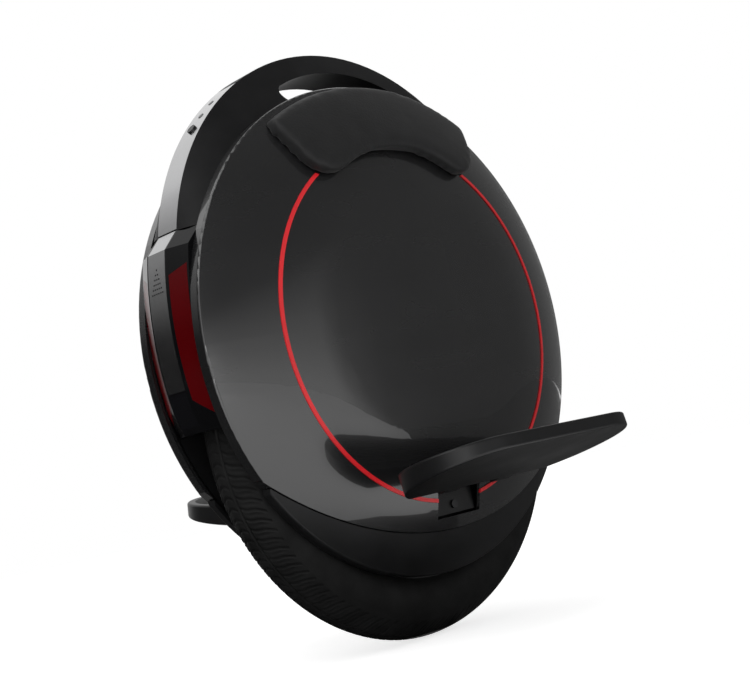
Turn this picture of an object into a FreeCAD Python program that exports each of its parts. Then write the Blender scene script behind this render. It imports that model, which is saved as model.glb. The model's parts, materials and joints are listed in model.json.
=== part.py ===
"""Electric unicycle: one driven wheel inside a round body, with folding pedals and a carrying handle.

X points forward (the end with the face panel), Y to the rider's left, Z up.
The origin lies on the floor under the wheel's axle.  All lengths are millimetres.
"""
import FreeCAD, Part
import math
import os

import Sketcher

V = FreeCAD.Vector
doc = FreeCAD.newDocument("electric_unicycle")
sheet = doc.addObject("Spreadsheet::Sheet", "sizes")

# Driving sizes, one cell each
SIZES = {
    # Shared fits
    "fit_gap": 0.3, "seat_gap": 0.1, "run_gap": 0.03, "overrun": 5,
    # Tyre, tube and rim
    "tyre_radius": 186, "tyre_half_width": 27, "shoulder_drop": 14, "tyre_wall": 7,
    "tread_crown": 5, "tyre_height": 56, "bead_half_width": 18, "rim_half_width": 22, "rim_lip": 8,
    "rim_ledge": 6, "web_half_width": 6, "rim_web": 16, "drum_wall": 10,
    "drum_half_width": 24, "tube_drop": 32, "tube_radius": 19.3, "tube_wall": 2,
    "valve_radius": 3, "valve_y": 16.5, "valve_reach": 13, "valve_angle": 250,
    # Motor, axle and bearings
    "magnet_count": 28, "magnet_depth": 3.5, "magnet_half_length": 14, "magnet_share": 0.9,
    "air_gap": 0.9, "stator_half_length": 13, "stator_ring": 19.5, "stator_web_half": 3,
    "coil_inner_step": 2, "coil_outer_step": 2.5, "coil_height": 6, "coil_round": 2.5,
    "axle_radius": 10, "axle_half_length": 58, "axle_step_radius": 14, "axle_step_half": 20,
    "bearing_radius": 20, "bearing_start": 21, "bearing_width": 9,
    "cover_thickness": 3, "cover_boss_radius": 27, "cover_boss_end": 30, "cover_round": 1.5,
    "cover_screw_count": 6, "cover_screw_radius": 2, "cover_screw_head_radius": 3.6,
    "cover_screw_head_height": 1.8, "cover_screw_length": 12,
    "nut_across": 27, "nut_height": 8, "washer_radius": 15, "washer_height": 1.5,
    # Frame
    "disc_inset": 5, "plate_outer_y": 37.5, "well_gap": 9, "well_half_width": 33.5,
    "crown_inset": 8.7, "crown_centre_rise": 48, "crown_half_width": 12.2,
    "flank_y": 30, "crown_floor_rise": 92.5,
    "bay_half_length": 68, "bay_floor_rise": 133.5, "bay_ceiling_rise": 183.5,
    "grip_floor_rise": 191.5, "grip_floor_half": 58, "grip_end_half": 70, "grip_end_rise": 201.5,
    "grip_end_radius": 12, "grip_top_half": 64, "grip_shoulder_rise": 209.5, "grip_top_radius": 150,
    "grip_shoulder_radius": 9,
    "strip_depth": 2, "strip_start_angle": 13.6, "strip_end_angle": 58,
    # Side shells, skirts, rings and pads
    "dome_rise": 68.5, "dome_top_y": 73.4, "dome_flat_radius": 3, "dome_break_radius": 100,
    "dome_break_y": 70.9, "dome_side_radius": 219, "body_clear": 17, "rim_y": 40,
    "band_lip": 2, "band_drop": 2.5, "band_round": 2.6, "shell_wall": 3,
    "hem_extra": 63, "hem_centre_rise": 95.5, "hem_gap": 0.6, "skirt_inset": 1.5, "skirt_end_inset": 33,
    "boss_radius": 5, "boss_front_x": 128, "boss_upper_rise": 63.5, "boss_rear_x": 138,
    "boss_lower_rise": -64.5, "skirt_boss_x": 52, "skirt_boss_inset": 15.2,
    "shell_screw_radius": 1.8, "shell_screw_head_radius": 3.6, "shell_screw_head_height": 2.4,
    "shell_screw_length": 16, "skirt_screw_length": 8,
    "ring_radius": 148, "ring_half_width": 1.45, "ring_proud": 0.9, "ring_depth": 1.2,
    "slot_half_length": 52, "slot_floor_rise": -135, "slot_ceiling_rise": -113.5,
    "notch_half_length": 25, "notch_floor_rise": -160.5,
    "pad_inner_radius": 112, "pad_rim_inset": 1.5, "pad_thickness": 14.5, "pad_round": 4.5,
    "pad_corner_round": 8, "pad_arch_half": 60, "pad_arch_rise": 124, "pad_arch_radius": 114,
    "pad_lobe_radius": 27, "pad_end_x": 114, "pad_end_rise": 170, "pad_head_rise": 225.5,
    "pad_space_y": 100,
    # Front and rear fairings with their inlays
    "face_radius": 293, "face_reach": 7, "face_centre_rise": 11.5, "face_top_rise": 78.5,
    "face_bottom_rise": -41.5, "fairing_floor_rise": -59.5, "fairing_floor_reach": 10, "fairing_slope": 8,
    "panel_half_width": 11, "panel_floor_rise": -27.5, "panel_depth": 2.5, "panel_bend": 1,
    "lens_floor_rise": -54.5, "lens_depth": 2.5, "lens_gap_z": 1,
    "marker_inner_y": 14, "marker_outer_y": 28.6, "marker_floor_rise": -49.5, "marker_head_rise": 64.5,
    "marker_floor_slant": 14, "marker_head_slant": 6, "marker_depth": 9.5,
    "speaker_radius": 13, "speaker_rise": 55.5, "speaker_depth": 16, "speaker_hole_radius": 0.75,
    "speaker_hole_pitch": 2.6, "speaker_row_pitch": 3.6, "speaker_rows": 6, "speaker_apex_rise": 65.5,
    "lamp_board_half": 8, "lamp_board_height": 16, "lamp_board_depth": 2.5, "lamp_board_rise": -41.5,
    # Controls and charging
    "button_radius": 4, "button_angle": 41.2, "button_travel": 1.2, "button_proud": 1.6, "button_depth": 3,
    "button_flange": 1.2, "light_radius": 2.6, "light_angle": 46, "light_step": 5, "light_count": 2,
    "port_rise": 35.5, "port_radius": 7, "port_bore_radius": 5, "port_depth": 14, "port_wall": 2,
    "cap_half_width": 9, "cap_height": 20, "cap_thickness": 2.4, "cap_round": 1.2,
    # Pedal hangers, hinges and pedals
    "hinge_y": 77, "hinge_rise": -127.5, "pin_radius": 3, "knuckle_radius": 6.6, "middle_knuckle_half": 22,
    "pedal_knuckle_end": 40, "hinge_half_length": 50, "hinge_side_gap": 0.5,
    "hanger_half": 24, "hanger_thickness": 10, "hanger_head": 24, "hanger_foot_rise": -158.5,
    "hanger_round": 14, "beam_floor_rise": -133, "beam_ceiling_rise": -115.5, "beam_face_y": 61,
    "tab_face_y": 55,
    "hanger_screw_radius": 2.2, "hanger_screw_head_radius": 3.4, "hanger_screw_head_height": 2,
    "hanger_screw_rise": -151.5, "hanger_screw_length": 10,
    "pedal_tilt": 9, "pedal_top": 6.4, "pedal_half_length": 110, "pedal_depth": 105.5,
    "pedal_corner_length": 46, "pedal_rim": 10.5,
    "pedal_root_thickness": 20, "pedal_round": 2, "notch_depth": 10.5,
    "grip_inset": 7, "grip_depth": 1.4, "grip_rib_count": 9, "grip_rib_pitch": 8, "grip_rib_width": 3,
    "grip_rib_height": 0.9, "grip_rib_half_share": 0.72,
    # Battery, control board and motor lead
    "pack_half_length": 68, "pack_floor_rise": -28.5, "pack_head_rise": 81.5, "pack_depth": 24,
    "pack_round": 5,
    "board_half_length": 62, "board_half_width": 24, "board_thickness": 2, "board_rise": 153.5,
    "sink_half_length": 50, "sink_half_width": 22, "sink_height": 10, "fin_count": 9, "fin_width": 2,
    "fin_depth": 6, "part_count": 6, "part_radius": 5, "part_height": 14, "part_pitch": 17,
    "post_radius": 3, "post_x": 56,
}


def fill_sheet():
    """Write every driving size into its own cell and give the cell its alias."""
    for row, (alias, value) in enumerate(SIZES.items(), start=1):
        sheet.set("A%d" % row, alias)
        sheet.set("B%d" % row, str(value))
        sheet.setAlias("B%d" % row, alias)
    doc.recompute()


class Size:
    """A length that knows its value and the sheet expression which gives it."""

    def __init__(self, value, text):
        self.value = float(value)
        self.text = text

    def join(self, other, sign, value):
        other = as_size(other)
        return Size(value(self.value, other.value), "(%s %s %s)" % (self.text, sign, other.text))

    def __add__(self, other):
        return self.join(other, "+", lambda a, b: a + b)

    def __sub__(self, other):
        return self.join(other, "-", lambda a, b: a - b)

    def __mul__(self, other):
        return self.join(other, "*", lambda a, b: a * b)

    def __truediv__(self, other):
        return self.join(other, "/", lambda a, b: a / b)

    def __radd__(self, other):
        return as_size(other) + self

    def __rsub__(self, other):
        return as_size(other) - self

    def __rmul__(self, other):
        return as_size(other) * self

    def __neg__(self):
        return Size(-self.value, "(-%s)" % self.text)


def as_size(value):
    return value if isinstance(value, Size) else Size(value, repr(float(value)))


def root(size):
    return Size(math.sqrt(size.value), "sqrt(%s)" % size.text)


def cosine(angle):
    return Size(math.cos(math.radians(angle.value)), "cos(%s * 1 deg)" % angle.text)


def sine(angle):
    return Size(math.sin(math.radians(angle.value)), "sin(%s * 1 deg)" % angle.text)


class Sheet:
    """Reads a cell of the sheet by its alias."""

    def __getattr__(self, alias):
        return Size(sheet.get(alias), "sizes." + alias)


fill_sheet()
s = Sheet()
nodes = {}

# Sizes that follow from the driving ones
wheel_z = s.tyre_radius
tyre_shoulder_radius = s.tyre_radius - s.shoulder_drop
tube_ring_radius = s.tyre_radius - s.tube_drop
bead_radius = s.tyre_radius - s.tyre_height
rim_lip_radius = bead_radius + s.rim_lip
rim_ledge_radius = bead_radius - s.rim_ledge
drum_outer_radius = rim_ledge_radius - s.rim_web
drum_inner_radius = drum_outer_radius - s.drum_wall
magnet_inner_radius = drum_inner_radius - s.seat_gap - s.magnet_depth
stator_radius = magnet_inner_radius - s.air_gap
stator_web_radius = stator_radius - s.stator_ring
coil_inner_radius = stator_web_radius + s.coil_inner_step
coil_outer_radius = stator_radius - s.coil_outer_step
well_radius = s.tyre_radius + s.well_gap
rim_radius = s.tyre_radius + s.body_clear
band_radius = rim_radius + s.band_lip
disc_radius = rim_radius - s.disc_inset
crown_radius = rim_radius - s.crown_inset
hem_radius = rim_radius + s.hem_extra
skirt_half_length = rim_radius - s.skirt_end_inset
pad_outer_radius = rim_radius - s.pad_rim_inset
face_centre_x = rim_radius + s.face_reach - s.face_radius
dome_centre_z = wheel_z + s.dome_rise
hanger_head_z = wheel_z + s.hanger_head


class Heights:
    """Heights in the body, each kept in the sheet as its rise above the dome's centre."""

    def __getattr__(self, name):
        return dome_centre_z + getattr(s, name + "_rise")


height = Heights()


def node(name, item):
    """Give a finished piece its name."""
    item.Label = name
    nodes[name] = item
    return item


def bind(item, **sizes):
    for key, value in sizes.items():
        item.setExpression(key, as_size(value).text)


def put(item, x=0, y=0, z=0, axis=None, angle=0):
    """Place an item, with its position bound to the sheet."""
    if axis is not None:
        item.Placement.Rotation = FreeCAD.Rotation(axis, as_size(angle).value)
    for key, value in (("x", x), ("y", y), ("z", z)):
        item.setExpression("Placement.Base." + key, as_size(value).text)
    return item


# Small building blocks
def box(name, x0, x1, y0, y1, z0, z1):
    item = doc.addObject("Part::Box", name)
    bind(item, Length=x1 - x0, Width=y1 - y0, Height=z1 - z0)
    return put(item, x0, y0, z0)


def rod_y(name, radius, x, z, y0, y1):
    """A cylinder along Y."""
    item = doc.addObject("Part::Cylinder", name)
    bind(item, Radius=radius, Height=y1 - y0)
    return put(item, x, y0, z, V(1, 0, 0), -90)


def rod_x(name, radius, y, z, x0, x1):
    """A cylinder along X."""
    item = doc.addObject("Part::Cylinder", name)
    bind(item, Radius=radius, Height=x1 - x0)
    return put(item, x0, y, z, V(0, 1, 0), 90)


def rod_z(name, radius, x, y, z0, z1):
    """A cylinder along Z."""
    item = doc.addObject("Part::Cylinder", name)
    bind(item, Radius=radius, Height=z1 - z0)
    return put(item, x, y, z0)


def fuse(name, *items):
    item = doc.addObject("Part::MultiFuse", name)
    item.Shapes = list(items)
    item.Refine = True
    return item


def cut(name, base, *tools):
    item = doc.addObject("Part::Cut", name)
    item.Base = base
    item.Tool = tools[0] if len(tools) == 1 else fuse(name + "_tools", *tools)
    return item


def group(name, *items):
    item = doc.addObject("Part::Compound", name)
    item.Links = list(items)
    return item


def common(name, first, second):
    item = doc.addObject("Part::Common", name)
    item.Base = first
    item.Tool = second
    return item


def mirrored(name, source, normal):
    item = doc.addObject("Part::Mirroring", name)
    item.Source = source
    item.Normal = normal
    item.Base = V(0, 0, 0)
    return item


LEFT_TO_RIGHT = V(0, 1, 0)
FRONT_TO_REAR = V(1, 0, 0)


def arc_middle(start, end, radius):
    """Middle of the minor arc between two points; a positive radius bulges to the right of travel."""
    chord = end - start
    half = chord.Length / 2
    rise = abs(radius) - math.sqrt(max(radius * radius - half * half, 0))
    side = V(chord.y, -chord.x, 0).normalize() * math.copysign(1, radius)
    return (start + end) / 2 + side * rise


def draw(sketch, path):
    """Draw a closed path of lines and arcs, each corner pinned to its sizes.

    A corner is (x, y) at the end of a line, or (x, y, radius) at the end of an arc.
    """
    corners = [V(as_size(c[0]).value, as_size(c[1]).value, 0) for c in path]
    first = len(sketch.Geometry)
    ends = []
    for index, corner in enumerate(path):
        start, end = corners[index - 1], corners[index]
        if len(corner) == 2:
            sketch.addGeometry(Part.LineSegment(start, end), False)
            ends.append((1, 2))
            continue
        radius = as_size(corner[2])
        middle = arc_middle(start, end, radius.value)
        ahead = radius.value > 0
        arc = Part.Arc(start, middle, end) if ahead else Part.Arc(end, middle, start)
        sketch.addGeometry(arc, False)
        ends.append((1, 2) if ahead else (2, 1))
        size = radius if ahead else -radius
        rule = sketch.addConstraint(Sketcher.Constraint("Radius", first + index, size.value))
        sketch.setExpression("Constraints[%d]" % rule, size.text)
    for index, corner in enumerate(path):
        after = (index + 1) % len(path)
        here = (first + index, ends[index][1])
        sketch.addConstraint(Sketcher.Constraint("Coincident", *here, first + after, ends[after][0]))
        for kind, size in (("DistanceX", corner[0]), ("DistanceY", corner[1])):
            size = as_size(size)
            rule = sketch.addConstraint(Sketcher.Constraint(kind, -1, 1, *here, size.value))
            sketch.setExpression("Constraints[%d]" % rule, size.text)


def sketch_on(body, name, role, path, offset=None):
    """A sketch on one of the body's own planes, moved along its normal by offset."""
    sketch = body.newObject("Sketcher::SketchObject", name)
    plane = [item for item in body.Origin.OriginFeatures if item.Role == role][0]
    sketch.AttachmentSupport = [(plane, "")]
    sketch.MapMode = "FlatFace"
    draw(sketch, path)
    if offset is not None:
        sketch.setExpression("AttachmentOffset.Base.z", as_size(offset).text)
    return sketch


def turned(name, path, centre_z):
    """A body turned about an axis along Y; the path is in radius and y."""
    body = doc.addObject("PartDesign::Body", name)
    sketch = sketch_on(body, name + "_profile", "XY_Plane", path)
    turn = body.newObject("PartDesign::Revolution", name + "_turn")
    turn.Profile = sketch
    turn.ReferenceAxis = (sketch, ["V_Axis"])
    sketch.Visibility = False
    return put(body, z=centre_z)


def pressed(name, path, y0, y1):
    """A body with a side profile in x and z, padded from y0 to y1."""
    body = doc.addObject("PartDesign::Body", name)
    sketch = sketch_on(body, name + "_profile", "XZ_Plane", path, -as_size(y0))
    pad = body.newObject("PartDesign::Pad", name + "_pad")
    pad.Profile = sketch
    bind(pad, Length=y1 - y0)
    pad.Reversed = True
    return body


def ring(name, inner, outer, y0, y1, centre_z):
    return turned(name, [(inner, y0), (outer, y0), (outer, y1), (inner, y1)], centre_z)


def round_edges(name, item, radius, chosen):
    """Round the edges of an item that the test picks."""
    doc.recompute()
    picked = [i for i, edge in enumerate(item.Shape.Edges, start=1) if chosen(edge)]
    fillet = doc.addObject("Part::Fillet", name)
    fillet.Base = item
    fillet.Edges = [(index, as_size(radius).value, as_size(radius).value) for index in picked]
    return fillet


# Side dome, shared by the shells, skirts, rings and pads
def dome_y(radius):
    """Height of the dome's outer face at a radius beyond the break between its two arcs."""
    span_r = rim_radius - s.dome_break_radius
    span_y = s.rim_y - s.dome_break_y
    chord = root(span_r * span_r + span_y * span_y)
    reach = root(s.dome_side_radius * s.dome_side_radius - chord * chord / 4)
    centre_r = (rim_radius + s.dome_break_radius) / 2 + span_y / chord * reach
    centre_y = (s.rim_y + s.dome_break_y) / 2 - span_r / chord * reach
    gap = radius - centre_r
    return centre_y + root(s.dome_side_radius * s.dome_side_radius - gap * gap)


def dome_path(inset):
    """Profile of a domed cover, flat at its very middle, whose outer face lies inset below the dome."""
    wall, flat = s.shell_wall, s.dome_flat_radius
    inner_band = band_radius - wall
    rise = s.dome_top_y - s.dome_break_y
    span = s.dome_break_radius - flat
    ball_radius = (span * span + rise * rise) / (rise * 2)
    return [
        (as_size(0), s.dome_top_y - wall - inset),
        (flat, s.dome_top_y - wall - inset),
        (s.dome_break_radius, s.dome_break_y - wall - inset, -ball_radius),
        (rim_radius - wall, s.rim_y - inset - wall / 2, -s.dome_side_radius),
        (inner_band, s.rim_y - wall - s.band_drop),
        (inner_band, s.flank_y),
        (band_radius, s.flank_y),
        (band_radius, s.rim_y - s.band_drop - inset),
        (rim_radius, s.rim_y - inset, s.band_round),
        (s.dome_break_radius, s.dome_break_y - inset, s.dome_side_radius),
        (flat, s.dome_top_y - inset, ball_radius),
        (as_size(0), s.dome_top_y - inset),
    ]


def ring_path(side, rise, depth):
    """Profile of the accent ring, or of its groove, on the sloping dome."""
    inner = s.ring_radius - side
    outer = s.ring_radius + side
    return [(inner, dome_y(inner) - depth), (outer, dome_y(outer) - depth),
            (outer, dome_y(outer) + rise), (inner, dome_y(inner) + rise)]


def slot_tool(name, gap):
    """The T-shaped cut-out where the pedal's hinge comes through the shell, made larger by gap."""
    near_y, far_y = s.plate_outer_y, s.dome_top_y + s.overrun
    half, notch, head = s.slot_half_length + gap, s.notch_half_length + gap, height.slot_ceiling + gap
    wide = box(name + "_wide", -half, half, near_y, far_y, height.slot_floor - gap, head)
    low = box(name + "_notch", -notch, notch, near_y, far_y, height.notch_floor - gap, head)
    return fuse(name, wide, low)


def pad_outline(name, gap):
    """Prism over the leg pad's outline: an arched lower edge between two round lobes.

    The lobes run smoothly on from the arch and into the straight ends.
    """
    half, arch = s.pad_arch_half, s.pad_arch_radius
    drop = root(arch * arch - half * half)
    reach = arch + s.pad_lobe_radius
    lobe_x, lobe_z = reach * half / arch, height.pad_arch - drop + reach * drop / arch
    edge, lobe = arch - gap, s.pad_lobe_radius + gap
    arch_x, arch_z = edge * half / arch, height.pad_arch - drop + edge * drop / arch
    end, end_z = s.pad_end_x + gap, height.pad_end - gap
    run, rise = end - lobe_x, end_z - lobe_z
    span = run * run + rise * rise
    line = root(span - lobe * lobe)
    side_x = lobe_x + lobe * (lobe * run + line * rise) / span
    side_z = lobe_z + lobe * (lobe * rise - line * run) / span
    return pressed(name, [
        (arch_x, arch_z, -edge),
        (side_x, side_z, lobe),
        (end, end_z),
        (end, height.pad_head),
        (-end, height.pad_head),
        (-end, end_z),
        (-side_x, side_z),
        (-arch_x, arch_z, lobe),
    ], s.flank_y, s.pad_space_y)


def shell_boss_places():
    """Where the shell's screws stand, with their length."""
    long = s.shell_screw_length
    return [(s.boss_front_x, height.boss_upper, long), (-s.boss_front_x, height.boss_upper, long),
            (s.boss_rear_x, height.boss_lower, long), (-s.boss_rear_x, height.boss_lower, long)]


def skirt_boss_places():
    """Where the skirt's screws stand, with their length."""
    short, x, radius = s.skirt_screw_length, s.skirt_boss_x, rim_radius - s.skirt_boss_inset
    z = dome_centre_z - root(radius * radius - x * x)
    return [(x, z, short), (-x, z, short)]


def boss(name, place, inset):
    """A hollow screw boss from the frame's side plate up into a cover's wall."""
    x, z, length = place
    gap_z = z - dome_centre_z
    radius = root(x * x + gap_z * gap_z)
    top = dome_y(radius + s.boss_radius) - inset - s.shell_wall / 2
    post = rod_y(name + "_post", s.boss_radius, x, z, s.plate_outer_y, top)
    tip = s.well_half_width + s.shell_screw_head_height + length
    bore = rod_y(name + "_bore", s.shell_screw_radius + s.seat_gap, x, z, s.plate_outer_y - s.overrun,
                 tip + s.fit_gap)
    return post, bore


def bosses(name, places, inset):
    """Posts and bores of a cover's screw bosses."""
    return zip(*[boss("%s_%d" % (name, index), place, inset) for index, place in enumerate(places)])


def make_side_covers():
    hem = rod_y("hem_space", hem_radius, 0, height.hem_centre, as_size(0), s.pad_space_y)
    hem_clear = rod_y("hem_clear_space", hem_radius + s.hem_gap, 0, height.hem_centre, as_size(0),
                      s.pad_space_y)

    posts, bores = bosses("shell_boss", shell_boss_places(), as_size(0))
    upper = common("upper_dome", turned("dome", dome_path(as_size(0)), dome_centre_z), hem)
    groove = turned("ring_groove", ring_path(s.ring_half_width + s.seat_gap, s.overrun,
                                             s.ring_depth + s.seat_gap), dome_centre_z)
    shell = cut("side_shell", fuse("side_shell_blank", upper, *posts), groove, *bores,
                slot_tool("slot_space", as_size(0)))
    node("side_shell_left", shell)
    node("side_shell_right", mirrored("side_shell_mirror", shell, LEFT_TO_RIGHT))

    posts, bores = bosses("skirt_boss", skirt_boss_places(), s.skirt_inset)
    end, far = skirt_half_length, s.pad_space_y
    skirt_space = box("skirt_space", -end, end, as_size(0), far, as_size(0), dome_centre_z)
    dome = turned("skirt_dome", dome_path(s.skirt_inset), dome_centre_z)
    lower = cut("lower_dome", common("skirt_bowl", dome, skirt_space), hem_clear)
    skirt = cut("skirt", fuse("skirt_blank", lower, *posts), *bores)
    node("lower_skirt_left", skirt)
    node("lower_skirt_right", mirrored("skirt_mirror", skirt, LEFT_TO_RIGHT))

    whole = turned("whole_ring", ring_path(s.ring_half_width, s.ring_proud, s.ring_depth), dome_centre_z)
    accent = cut("accent_ring", whole, pad_outline("pad_clear_space", s.fit_gap),
                 slot_tool("ring_slot_space", s.fit_gap))
    node("accent_ring_left", accent)
    node("accent_ring_right", mirrored("accent_ring_mirror", accent, LEFT_TO_RIGHT))
    make_pads()


def make_pads():
    """Foam leg pads: an even layer over the dome inside the outline, with rounded outer edges."""
    inner, outer = s.pad_inner_radius, pad_outer_radius
    base, thick = s.fit_gap, s.pad_thickness
    layer = turned("pad_layer", [
        (outer, dome_y(outer) + base, -s.dome_side_radius),
        (outer, dome_y(outer) + thick),
        (inner, dome_y(inner) + thick, s.dome_side_radius),
        (inner, dome_y(inner) + base),
    ], dome_centre_z)
    blank = common("leg_pad_blank", layer, pad_outline("pad_space", as_size(0)))

    def ends(edge):
        """Radius and height of an edge's two ends on the dome."""
        points = [edge.valueAt(edge.FirstParameter), edge.valueAt(edge.LastParameter)]
        return [(math.hypot(p.x, p.z - dome_centre_z.value), p.y) for p in points]

    def at_corner(edge):
        (radius_a, y_a), (radius_b, y_b) = ends(edge)
        on_rim = all(abs(radius - outer.value) < s.fit_gap.value for radius in (radius_a, radius_b))
        return on_rim and abs(y_a - y_b) > s.fit_gap.value

    def on_outer_face(edge):
        return all(abs(y - dome_y(as_size(radius)).value - thick.value) < s.fit_gap.value
                   for radius, y in ends(edge))

    blunt = round_edges("leg_pad_blunt", blank, s.pad_corner_round, at_corner)
    pad = round_edges("leg_pad", blunt, s.pad_round, on_outer_face)
    node("leg_pad_left", pad)
    node("leg_pad_right", mirrored("leg_pad_mirror", pad, LEFT_TO_RIGHT))


# Frame with its crown, handle and bays
def circle_wire(name, radius, z, y):
    item = doc.addObject("Part::Circle", name)
    bind(item, Radius=radius)
    return put(item, 0, y, z, V(1, 0, 0), -90)


def loft(name, *sections):
    item = doc.addObject("Part::Loft", name)
    item.Sections = list(sections)
    item.Solid = True
    item.Ruled = True
    return item


def strip_sector(name, start, end, inner, outer, half_width):
    """A ring sector about the crown's centre, between two angles above the horizon."""
    def at(radius, angle):
        return radius * cosine(angle), height.crown_centre + radius * sine(angle)
    return pressed(name, [
        at(inner, start) + (-inner,),
        at(outer, start),
        at(outer, end) + (outer,),
        at(inner, end),
    ], -half_width, half_width)


def fairing_path(drop):
    """Side profile of a fairing, with its outer face moved back by drop."""
    inner = disc_radius + s.seat_gap
    floor, head = height.fairing_floor, height.crown_floor

    def inner_x(z):
        gap = z - dome_centre_z
        return root(inner * inner - gap * gap)

    rise = head - height.crown_centre
    crown_x = root(crown_radius * crown_radius - rise * rise)
    return [
        (inner_x(floor), floor, -inner),
        (inner_x(floor) + s.fairing_floor_reach - drop, floor),
        (face_x(s.face_radius, height.face_bottom) - drop, height.face_bottom),
        (face_x(s.face_radius, height.face_top) - drop, height.face_top, s.face_radius),
        (crown_x - drop, head),
        (inner_x(head), head),
    ]


def face_x(radius, z):
    """Forward reach of the curved front face, or of an arc beside it, at a height."""
    gap = z - height.face_centre
    return face_centre_x + root(radius * radius - gap * gap)


def face_sector(inner, low, high):
    """Side profile of a space in the front face, from an inner arc out past the face."""
    outer = s.face_radius + s.overrun
    return [
        (face_x(inner, low), low, -inner),
        (face_x(outer, low), low),
        (face_x(outer, high), high, outer),
        (face_x(inner, high), high),
    ]


def lens_window(name, inset):
    """The space of the lamp lens under the face panel, made smaller by inset."""
    low, high = height.lens_floor + inset, height.panel_floor - s.lens_gap_z - inset
    return pressed(name, face_sector(s.face_radius - s.lens_depth + inset, low, high),
                   inset - s.panel_half_width, s.panel_half_width - inset)


def panel_window(name, inset):
    """The space of a face panel: up the curved face, then back along the ledge over it."""
    inner = s.face_radius - s.panel_depth + inset
    outer_x = rim_radius + s.face_reach + s.overrun
    low, high, bend = height.panel_floor + inset, height.crown_floor - inset, height.face_top - s.panel_bend
    rise = height.crown_floor - height.crown_centre
    ledge_x = root(crown_radius * crown_radius - rise * rise) - s.panel_depth + inset
    return pressed(name, [
        (face_x(inner, low), low, -inner),
        (outer_x, low),
        (outer_x, high),
        (ledge_x, high),
        (face_x(inner, bend), bend),
    ], inset - s.panel_half_width, s.panel_half_width - inset)


def marker_window(name, inset):
    """The space of a marker light, whose ends spread apart towards the shell, made smaller by inset."""
    inner = s.face_radius - s.marker_depth + inset
    floor, head = height.marker_floor + inset, height.marker_head - inset
    spans = [(s.marker_inner_y + inset, floor + s.marker_floor_slant, head - s.marker_head_slant),
             (s.marker_outer_y - inset, floor, head)]
    sections = []
    for index, (y, low, high) in enumerate(spans):
        sections.append(loose_sketch("%s_%d" % (name, index), face_sector(inner, low, high), y))
    return loft(name, *sections)


def loose_sketch(name, path, y):
    """A sketch in x and z that stands by itself at a given y."""
    sketch = doc.addObject("Sketcher::SketchObject", name)
    draw(sketch, path)
    return put(sketch, 0, y, 0, V(1, 0, 0), 90)


def radial(name, radius, angle, start, end):
    """A cylinder that stands out from the crown's centre at an angle above the horizon."""
    item = doc.addObject("Part::Cylinder", name)
    bind(item, Radius=radius, Height=end - start)
    return put(item, start * cosine(angle), 0, height.crown_centre + start * sine(angle),
               V(0, 1, 0), 90 - angle)


def make_fairings():
    """Front and rear fairings between the shells, each with its inlays."""
    nothing = as_size(0)
    slab = pressed("fairing_slab", fairing_path(nothing), -s.crown_half_width, s.crown_half_width)
    cheek = loft("fairing_cheek", loose_sketch("cheek_inner", fairing_path(nothing), s.crown_half_width),
                 loose_sketch("cheek_outer", fairing_path(s.fairing_slope), s.flank_y))
    blank = fuse("fairing_blank", slab, cheek, mirrored("cheek_mirror", cheek, LEFT_TO_RIGHT))

    windows = {"lens": lens_window, "marker": marker_window, "panel": panel_window}
    spaces = {name: window(name + "_space", nothing) for name, window in windows.items()}
    inlays = {name: common(name + "_blank", blank, window(name + "_fill", s.seat_gap))
              for name, window in windows.items()}
    marker_space_right = mirrored("marker_space_mirror", spaces["marker"], LEFT_TO_RIGHT)
    board_back = face_x(s.face_radius, height.lamp_board) - s.lens_depth - s.lamp_board_depth * 2
    board_z0 = height.lamp_board - s.lamp_board_height / 2
    board_z1 = height.lamp_board + s.lamp_board_height / 2
    lamp_space = box("lamp_space", board_back, board_back + s.lamp_board_depth * 2,
                     -s.lamp_board_half - s.seat_gap, s.lamp_board_half + s.seat_gap,
                     board_z0 - s.seat_gap, board_z1 + s.seat_gap)
    sound_way = rod_x("sound_way", s.panel_half_width - s.fit_gap, 0, height.speaker,
                      well_radius - s.speaker_depth, s.face_radius)
    open_front = cut("fairing_open", blank, *spaces.values(), marker_space_right, lamp_space)

    node("front_fairing", cut("front_fairing_cut", open_front, sound_way))
    node("front_face_panel", cut("front_panel_cut", inlays["panel"], speaker_holes()))
    node("headlamp_lens", inlays["lens"])
    node("headlamp_board", box("lamp_board", board_back, board_back + s.lamp_board_depth, -s.lamp_board_half,
                               s.lamp_board_half, board_z0, board_z1))
    node("marker_light_front_left", inlays["marker"])
    node("marker_light_front_right", mirrored("marker_front_right", inlays["marker"], LEFT_TO_RIGHT))

    rear = mirrored("rear_open", open_front, FRONT_TO_REAR)
    rear_panel = mirrored("rear_panel_blank", inlays["panel"], FRONT_TO_REAR)
    node("rear_fairing", cut("rear_fairing_cut", rear, *port_spaces("fairing")))
    node("rear_face_panel", cut("rear_panel_cut", rear_panel, *port_spaces("panel")))
    node("tail_lamp_lens", mirrored("tail_lens", inlays["lens"], FRONT_TO_REAR))
    node("tail_lamp_board", mirrored("tail_board", nodes["headlamp_board"], FRONT_TO_REAR))
    tail = mirrored("marker_rear_left", inlays["marker"], FRONT_TO_REAR)
    node("marker_light_rear_left", tail)
    node("marker_light_rear_right", mirrored("marker_rear_right", tail, LEFT_TO_RIGHT))


def speaker_holes():
    """Rows of small holes that widen downwards from one hole."""
    holes = []
    for row in range(int(s.speaker_rows.value)):
        for column in range(row + 1):
            y = s.speaker_hole_pitch * (column - row / 2)
            z = height.speaker_apex - s.speaker_row_pitch * row
            holes.append(rod_x("speaker_hole_%d_%d" % (row, column), s.speaker_hole_radius, y, z,
                               disc_radius - s.overrun, disc_radius + s.overrun * 4))
    return group("speaker_holes", *holes)


def cap_outer_x():
    """Outer plane of the charging cap, level with the face at the cap's upper edge."""
    return -face_x(s.face_radius, height.port + s.cap_height / 2)


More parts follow.
